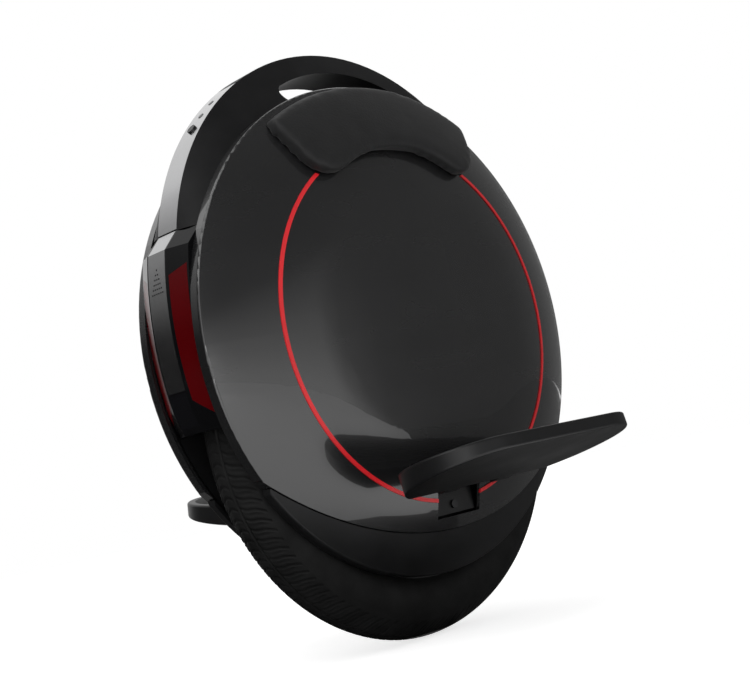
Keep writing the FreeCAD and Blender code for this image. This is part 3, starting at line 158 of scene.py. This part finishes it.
paints = {
    "body_black": moulded("body_black", (0.0095, 0.0095, 0.01), 0.48).set("Specular IOR Level", 0.14),
    "shell_gloss": polished("shell_gloss", (0.0115, 0.0115, 0.012), 0.26).coat(1.0, 0.02),
    "skirt_black": moulded("skirt_black", (0.008, 0.008, 0.0085), 0.46).set("Specular IOR Level", 0.35),
    "fairing_gloss": polished("fairing_gloss", (0.004, 0.004, 0.0045), 0.12).set("Specular IOR Level", 0.22),
    "strip_gloss": satin("strip_gloss", (0.48, 0.48, 0.485), 0.22),
    "panel_grey": satin("panel_grey", (0.46, 0.462, 0.465), 0.24),
    "accent_red": polished("accent_red", (0.84, 0.018, 0.026), 0.35),
    "marker_red": polished("marker_red", (0.075, 0.0, 0.001), 0.2).set("Specular IOR Level", 0.14),
    "lens_smoked": polished("lens_smoked", (0.005, 0.005, 0.006), 0.08).set("Specular IOR Level", 0.3),
    "tail_red": polished("tail_red", (0.12, 0.0, 0.002), 0.1).coat(1.0, 0.03),
    "pad_black": Paint("pad_black", (0.0098, 0.0098, 0.0102), 0.6, level=0.3).mottle(40, 0.2).scuff(25, 0.07)
    .grain(620, 0.00012, cells=True).grain(2600, 0.00003)
    .set("Sheen Weight", 0.08).set("Sheen Roughness", 0.5),
    "button_black": moulded("button_black", (0.01, 0.01, 0.0105), 0.42),
    "light_clear": polished("light_clear", (0.03, 0.031, 0.033), 0.3),
    "socket_black": moulded("socket_black", (0.02, 0.02, 0.02), 0.5),
    "cap_rubber": rubber("cap_rubber", (0.018, 0.018, 0.018), 0.7),
    "tyre_black": rubber("tyre_black", (0.0075, 0.0075, 0.0075), 0.7).set("Specular IOR Level", 0.22),
    "tube_rubber": rubber("tube_rubber", (0.025, 0.025, 0.025)),
    "alloy_dark": Paint("alloy_dark", (0.0095, 0.0095, 0.01), 0.4, level=0.36).mottle(30, 0.15)
    .scuff(14, 0.06).grain(1100, 0.00002),
    "alloy_bare": metal("alloy_bare", (0.62, 0.63, 0.64), 0.34, (1, 30, 30)),
    "steel": metal("steel", (0.55, 0.55, 0.56), 0.28, (1, 14, 1)),
    "screw_black": metal("screw_black", (0.06, 0.06, 0.062), 0.4),
    "magnet_nickel": metal("magnet_nickel", (0.62, 0.6, 0.56), 0.22),
    "copper": metal("copper", (0.62, 0.26, 0.11), 0.38, (1, 40, 1)),
    "brass": metal("brass", (0.7, 0.54, 0.24), 0.3),
    "grip_rubber": rubber("grip_rubber", (0.018, 0.018, 0.018)),
    "pack_blue": moulded("pack_blue", (0.03, 0.1, 0.3), 0.42),
    "board_green": moulded("board_green", (0.02, 0.16, 0.07), 0.38),
    "component_black": moulded("component_black", (0.03, 0.03, 0.034), 0.5),
}
slot_of = {part["node"]: part["material_slot"] for part in frame["record"]["subparts"]}
for name, item in nodes.items():
    item.data.materials.clear()
    item.data.materials.append(paints[slot_of[name]].mat)


def add_piece(name, mesh, paint, body, replaced):
    """A new piece that stands for a CAD node and moves with its body."""
    piece = bpy.data.objects.new(name, mesh)
    scene.collection.objects.link(piece)
    mesh.materials.clear()
    mesh.materials.append(paints[paint].mat)
    for face in mesh.polygons:
        face.use_smooth = True
    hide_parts(replaced)
    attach(piece, body)
    return piece


# Tyre, in metres: points of its section are (radius, y), and lines run round its walls
TYRE_RADIUS = 0.186
AXLE_HEIGHT = TYRE_RADIUS
CROWN_RADIUS = 0.032
LOWER_WALL_RADIUS = 0.018
UPPER_WALL_RADIUS = 0.0419
BEAD, LIP, WAIST = (0.1301, -0.0177), (0.1386, -0.0196), (0.154, -0.027)
SHOULDER, TOP = (0.172, -0.022), (TYRE_RADIUS, 0.0)
INSIDE = ((0.1301, 0.0105), (0.138, 0.0135), (0.154, 0.0195), (0.168, 0.0135), (0.178, 0.0))
WALL_LINES = (0.1692, 0.1605)
WALL_LINE_HALF_WIDTH = 0.0008
WALL_LINE_DEPTH = 0.0005

# Tread: blocks round the wheel, columns in a block, and how the columns lean and wave
BLOCKS = 130
STEPS = 7
TREAD_START = 0.1715
TREAD_HALF_WIDTH = 0.022
LEAN_SHARE = 0.75
WAVE_HEIGHT = 0.0012
WAVE_LENGTH = 0.0022
# Each cut: its column in a block or None for all, its band of distance from the middle, its depth
TREAD_CUTS = (
    (None, 0.0063, 0.0073, 0.0019),
    (0, 0.008, 0.0214, 0.0018),
    (3, 0.0, 0.0052, 0.0014),
    (4, 0.0117, 0.0174, 0.0009),
)
TREAD_ROWS = (0.022, 0.0216, 0.0212, 0.0205, 0.019, 0.0172, 0.0154, 0.0136, 0.0118, 0.01, 0.0088, 0.0083,
              0.0075, 0.0071, 0.0065, 0.0061, 0.0054, 0.005, 0.0038, 0.0026, 0.0013, 0.0)


def arc_centre(start, end, radius):
    """Centre of the arc that bulges to the right of travel."""
    start, end = Vector(start), Vector(end)
    chord = end - start
    side = Vector((chord.y, -chord.x)).normalized()
    return (start + end) / 2 - side * math.sqrt(radius * radius - chord.length_squared / 4)


def arc(start, end, radius, count):
    """Points after start, up to end, on that arc."""
    centre = arc_centre(start, end, radius)
    first, last = (math.atan2(p[1] - centre.y, p[0] - centre.x) for p in (start, end))
    turns = [first + (last - first) * (step + 1) / count for step in range(count)]
    return [(centre.x + radius * math.cos(a), centre.y + radius * math.sin(a)) for a in turns]


def tyre_rows():
    """Rows of (radius, y) round the casing: bead, wall, crown, wall, bead, and back inside."""
    middle = arc_centre(SHOULDER, TOP, CROWN_RADIUS)
    half = [BEAD, LIP] + arc(LIP, WAIST, LOWER_WALL_RADIUS, 8)
    half += arc(WAIST, SHOULDER, UPPER_WALL_RADIUS, 12)[:-1]
    for y in TREAD_ROWS:
        half.append((middle.x + math.sqrt(CROWN_RADIUS ** 2 - (y + middle.y) ** 2), -y))
    outer = half + [(r, -y) for r, y in reversed(half[:-1])]
    inner = list(INSIDE) + [(r, -y) for r, y in reversed(INSIDE[:-1])]
    return outer, inner


def tread_depth(radius, y, column):
    """How far the wall or the tread is cut in at a row and a column."""
    if radius < TREAD_START:
        on_line = any(abs(radius - line) < WALL_LINE_HALF_WIDTH for line in WALL_LINES)
        return WALL_LINE_DEPTH if on_line else 0.0
    for step, near, far, depth in TREAD_CUTS:
        if step in (None, column % STEPS) and near <= abs(y) < far:
            return depth
    return 0.0


def make_tyre():
    """A lathe of the casing whose columns lean with the tread, so that each cut follows one column."""
    outer, inner = tyre_rows()
    rows = outer + inner
    columns = BLOCKS * STEPS
    points = []
    for index, (radius, y) in enumerate(rows):
        lean = 0.0
        if index < len(outer):
            lean = max(0.0, TREAD_HALF_WIDTH - abs(y)) * LEAN_SHARE / radius
            lean += WAVE_HEIGHT / radius * math.sin(abs(y) / WAVE_LENGTH)
        for column in range(columns):
            turn = 2 * math.pi * column / columns + lean
            cut = tread_depth(radius, y, column) if index < len(outer) else 0.0
            reach = radius - cut
            points.append((reach * math.cos(turn), y, AXLE_HEIGHT + reach * math.sin(turn)))
    faces = []
    for index in range(len(rows)):
        after = (index + 1) % len(rows)
        for column in range(columns):
            beside = (column + 1) % columns
            faces.append((index * columns + column, index * columns + beside,
                          after * columns + beside, after * columns + column))
    mesh = bpy.data.meshes.new("tyre_tread")
    mesh.from_pydata(points, [], faces)
    mesh.update()
    shell = bmesh.new()
    shell.from_mesh(mesh)
    bmesh.ops.recalc_face_normals(shell, faces=shell.faces)
    shell.to_mesh(mesh)
    shell.free()
    add_piece("tyre_tread", mesh, "tyre_black", "wheel", "tyre")


make_tyre()


# Leg pads, blown up a little from their solids
VOXEL = 0.004
HELD_SHARE = 0.8
SHRINK = 0.0008
MOST_SWELL = 0.002
PAD_GAP = 0.0005
LAST_FRAME = 20


def settle(item):
    """Replace an object's mesh by what its modifiers make of it."""
    graph = bpy.context.evaluated_depsgraph_get()
    mesh = bpy.data.meshes.new_from_object(item.evaluated_get(graph))
    item.modifiers.clear()
    item.data = mesh


def make_pad(side):
    """A soft pad from its solid: meshed evenly, laid on the shell and blown up."""
    node = nodes["leg_pad_" + side]
    mesh = node.data.copy()
    mesh.transform(node.matrix_world)
    pad = add_piece("leg_pad_%s_soft" % side, mesh, "pad_black", "frame", node.name)
    remesh = pad.modifiers.new("remesh", "REMESH")
    remesh.mode = "VOXEL"
    remesh.voxel_size = VOXEL
    even = pad.modifiers.new("even", "SMOOTH")
    even.factor, even.iterations = 0.5, 4
    settle(pad)
    shell = nodes["side_shell_" + side]
    skin = BVHTree.FromObject(shell, bpy.context.evaluated_depsgraph_get())
    outward = Vector((0, 1 if side == "left" else -1, 0))
    held = pad.vertex_groups.new(name="held")
    for point in pad.data.vertices:
        place, normal, _, gap = skin.find_nearest(point.co)
        if normal.dot(outward) < 0:
            normal = -normal
        if gap < VOXEL * HELD_SHARE:
            point.co = place + normal * PAD_GAP
            held.add([point.index], 1.0, "REPLACE")
        else:
            point.co -= point.normal * SHRINK
    swell(pad)
    smooth = pad.modifiers.new("smooth", "SUBSURF")
    smooth.levels = smooth.render_levels = 1
    settle(pad)
    for face in pad.data.polygons:
        face.use_smooth = True


def swell(pad):
    """Air pressure against a stretchy skin, held along the shell."""
    start = [point.co.copy() for point in pad.data.vertices]
    cloth = pad.modifiers.new("cloth", "CLOTH")
    cloth.settings.quality = 6
    cloth.settings.mass = 0.3
    cloth.settings.tension_stiffness = 20
    cloth.settings.compression_stiffness = 20
    cloth.settings.bending_stiffness = 2
    cloth.settings.use_pressure = True
    cloth.settings.uniform_pressure_force = 4
    cloth.settings.vertex_group_mass = "held"
    cloth.settings.effector_weights.gravity = 0
    cloth.collision_settings.use_collision = False
    cloth.collision_settings.use_self_collision = False
    cloth.point_cache.frame_start = 1
    cloth.point_cache.frame_end = LAST_FRAME
    for number in range(1, LAST_FRAME + 1):
        scene.frame_set(number)
    settle(pad)
    scene.frame_set(1)
    for point, first in zip(pad.data.vertices, start):
        move = point.co - first
        if move.length > MOST_SWELL:
            point.co = first + move.normalized() * MOST_SWELL


make_pad("left")
make_pad("right")


# Camera, from the circular edges in the photograph
IMAGE_WIDTH = 750


def place_camera(azimuth, elevation, roll, distance, focal, aside, height):
    """Camera by its angles in degrees, its focal length in pixels and its target in metres."""
    a, e, turn = (math.radians(v) for v in (azimuth, elevation, roll))
    back = Vector((math.sin(a) * math.cos(e), -math.cos(a) * math.cos(e), math.sin(e)))
    right = Vector((math.cos(a), math.sin(a), 0))
    up = back.cross(right)
    across = right * math.cos(turn) + up * math.sin(turn)
    upward = up * math.cos(turn) - right * math.sin(turn)
    target = right * aside + Vector((0, 0, height))
    data = bpy.data.cameras.new("camera")
    data.sensor_fit = "HORIZONTAL"
    data.sensor_width = 36.0
    data.lens = focal / IMAGE_WIDTH * data.sensor_width
    data.clip_start = 0.01
    camera = bpy.data.objects.new("camera", data)
    scene.collection.objects.link(camera)
    spin = Matrix((across, upward, back)).transposed().to_4x4()
    camera.matrix_world = Matrix.Translation(target + back * distance) @ spin
    scene.camera = camera


place_camera(azimuth=135.25, elevation=-5.1037, roll=-11.5499, distance=1.13062, focal=1335.853,
             aside=0.00293, height=0.24742)


# Light and background
WORLD_LIGHT = 0.55
WORLD_SEEN = 1.0
FLOOR_LIFT = 0.7
FLOOR_SIZE = 8.0
FLAG_LEVEL = 0.13


def softbox(name, place, target, width, height, power):
    """A lamp behind a cloth, hidden from the camera."""
    data = bpy.data.lights.new(name, "AREA")
    data.shape = "RECTANGLE"
    data.size, data.size_y = width, height
    data.energy = power
    lamp = bpy.data.objects.new(name, data)
    scene.collection.objects.link(lamp)
    lamp.location = place
    lamp.rotation_euler = (Vector(target) - Vector(place)).to_track_quat("-Z", "Y").to_euler()
    lamp.visible_camera = False


def seen_by_eye(tree):
    """1 for rays that show the background: from the camera, or off gloss or glass."""
    path = tree.nodes.new("ShaderNodeLightPath")
    total = path.outputs["Is Camera Ray"]
    for kind in ("Is Glossy Ray", "Is Transmission Ray"):
        top = tree.nodes.new("ShaderNodeMath")
        top.operation = "MAXIMUM"
        tree.links.new(total, top.inputs[0])
        tree.links.new(path.outputs[kind], top.inputs[1])
        total = top.outputs["Value"]
    return total


def make_world():
    """A background that is white to the eye and lights at a lower level."""
    world = bpy.data.worlds.new("studio")
    scene.world = world
    world.use_nodes = True
    tree = world.node_tree
    back = next(n for n in tree.nodes if n.type == "BACKGROUND")
    back.inputs["Color"].default_value = (1, 1, 1, 1)
    level = tree.nodes.new("ShaderNodeMapRange")
    level.inputs["To Min"].default_value = WORLD_LIGHT
    level.inputs["To Max"].default_value = WORLD_SEEN
    tree.links.new(seen_by_eye(tree), level.inputs["Value"])
    tree.links.new(level.outputs["Result"], back.inputs["Strength"])


def make_floor():
    """A pale floor that reads as white to the eye and still takes the shadow."""
    floor = flat_card("floor", (0, 0, 0), (0, 0, 1), FLOOR_SIZE, FLOOR_SIZE)
    pale = Paint("floor_pale", (0.86, 0.86, 0.86), 0.9, level=0.2).mottle(3, 0.01)
    pale.set("Emission Color", (1, 1, 1, 1))
    lift = pale.tree.nodes.new("ShaderNodeMapRange")
    lift.inputs["To Max"].default_value = FLOOR_LIFT
    pale.tree.links.new(seen_by_eye(pale.tree), lift.inputs["Value"])
    pale.tree.links.new(lift.outputs["Result"], pale.shader.inputs["Emission Strength"])
    floor.data.materials.append(pale.mat)


def flat_card(name, place, facing, width, length, turn=0):
    """A flat sheet of the studio, not part of the object, turned about its facing by degrees."""
    mesh = bpy.data.meshes.new(name)
    w, h = width / 2, length / 2
    mesh.from_pydata([(-w, -h, 0), (w, -h, 0), (w, h, 0), (-w, h, 0)], [], [(0, 1, 2, 3)])
    card = bpy.data.objects.new(name, mesh)
    scene.collection.objects.link(card)
    spin = Matrix.Rotation(math.radians(turn), 3, "Z")
    card.location = place
    card.rotation_euler = (Vector(facing).to_track_quat("Z", "Y").to_matrix() @ spin).to_euler()
    return card


def dark_flag(name, place, facing, width, length, level, up=None, along=None, turn=0):
    """A dark cloth that only gloss sees, as a studio hangs beside a polished black thing.

    It fades from its own level to the pale background between two shares of its length (up) or
    of its width (along).  Where both are given, it is pale only where both are.
    """
    card = flat_card(name, place, facing, width, length, turn)
    cloth = Paint(name + "_cloth", (0.02, 0.02, 0.02), 0.95, level=0.1).mottle(4, 0.1)
    cloth.set("Emission Color", (1, 1, 1, 1)).set("Emission Strength", level)
    split = cloth.tree.nodes.new("ShaderNodeSeparateXYZ")
    cloth.tree.links.new(cloth.coords, split.inputs["Vector"])
    pale = None
    for axis, span, fade in (("Y", length, up), ("X", width, along)):
        if fade is None:
            continue
        start, end = ((share - 0.5) * span for share in fade)
        step = cloth.spread(split.outputs[axis], 0.0, 1.0, start, end)
        if pale is not None:
            both = cloth.tree.nodes.new("ShaderNodeMath")
            both.operation = "MULTIPLY"
            cloth.tree.links.new(pale, both.inputs[0])
            cloth.tree.links.new(step, both.inputs[1])
            step = both.outputs["Value"]
        pale = step
    if pale is not None:
        glow = cloth.spread(pale, level, 1.0, 0.0, 1.0)
        cloth.tree.links.new(glow, cloth.shader.inputs["Emission Strength"])
    card.data.materials.append(cloth.mat)
    card.visible_camera = False
    card.visible_diffuse = False
    card.visible_shadow = False
    card.visible_transmission = False


make_world()
make_floor()
dark_flag("flag_side", (-1.2, 3.0, 1.75), (0.2, -1, 0), 7.0, 3.5, FLAG_LEVEL, up=(0.36, 0.03),
          along=(0.34, 0.47))
dark_flag("flag_back", (-3.4, 0.9, 1.75), (1, -0.15, 0), 5.0, 3.5, FLAG_LEVEL)
dark_flag("flag_top", (0.5, 2.6, 3.5), (0, 0, -1), 9.0, 4.6, FLAG_LEVEL)
dark_flag("flag_front", (2.2, -0.9, 1.2), (-1, 0.7, 0), 5.0, 2.4, 0.0, up=(0.25, 1.2))
# Painted shade in reflections: flag_low lies on the floor on the -Y side and under the object, where its
# shadow falls. Gloss therefore sees that floor dark, although the floor is lifted pale for gloss rays.
# Further out it darkens the reflected floor as a cloth would.
dark_flag("flag_low", (0.5, -1.15, 0.003), (0, 0, 1), 4.0, 2.7, 0.0, up=(0.963, 1.0))
dark_flag("flag_low_back", (-2.15, 0.25, 0.004), (0, 0, 1), 6.0, 3.0, 0.1, up=(0.9, 1.0), turn=-50.7)
softbox("key", (1.2, 0.5, 1.5), (0, 0, 0.25), 1.2, 1.2, 8)
softbox("low", (1.3, 1.6, 0.25), (0, 0, 0.2), 0.7, 0.35, 3)

scene.view_settings.view_transform = "Standard"
